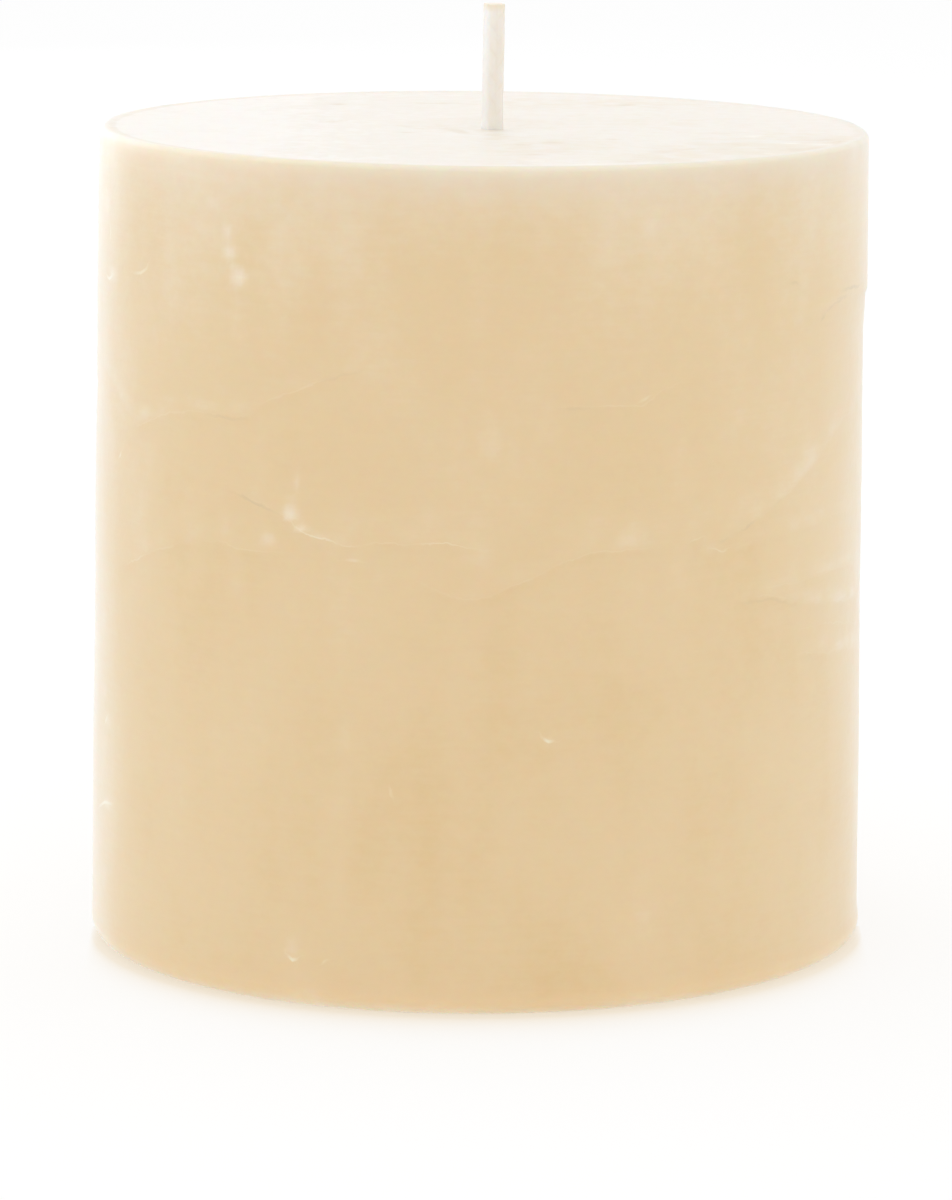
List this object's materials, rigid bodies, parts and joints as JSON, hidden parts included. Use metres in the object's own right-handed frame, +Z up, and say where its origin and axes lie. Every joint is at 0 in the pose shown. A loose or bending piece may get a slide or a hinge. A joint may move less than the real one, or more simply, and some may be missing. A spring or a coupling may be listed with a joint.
{
  "type": "pillar candle",
  "caption": "Squat round pillar candle: a cast wax block with a dished top and softly rounded foot, and a square-braided cotton wick through it.",
  "frame": {"origin": "middle of the foot, on the surface that the candle stands on", "axes": "+Z up through the wick's tip; +X to the right and -Y towards the viewer in the picture; the block's own axis leans 0.57 degrees towards +X"},
  "size_m": [0.075, 0.075, 0.0901],
  "materials": {
    "wax": "satin, slightly translucent cream wax with faint cold-pour lines",
    "wick_cotton": "waxed square cotton braid"
  },
  "bodies": {
    "root": {"wax_body": "wax", "wick": "wick_cotton"}
  },
  "joints": []
}
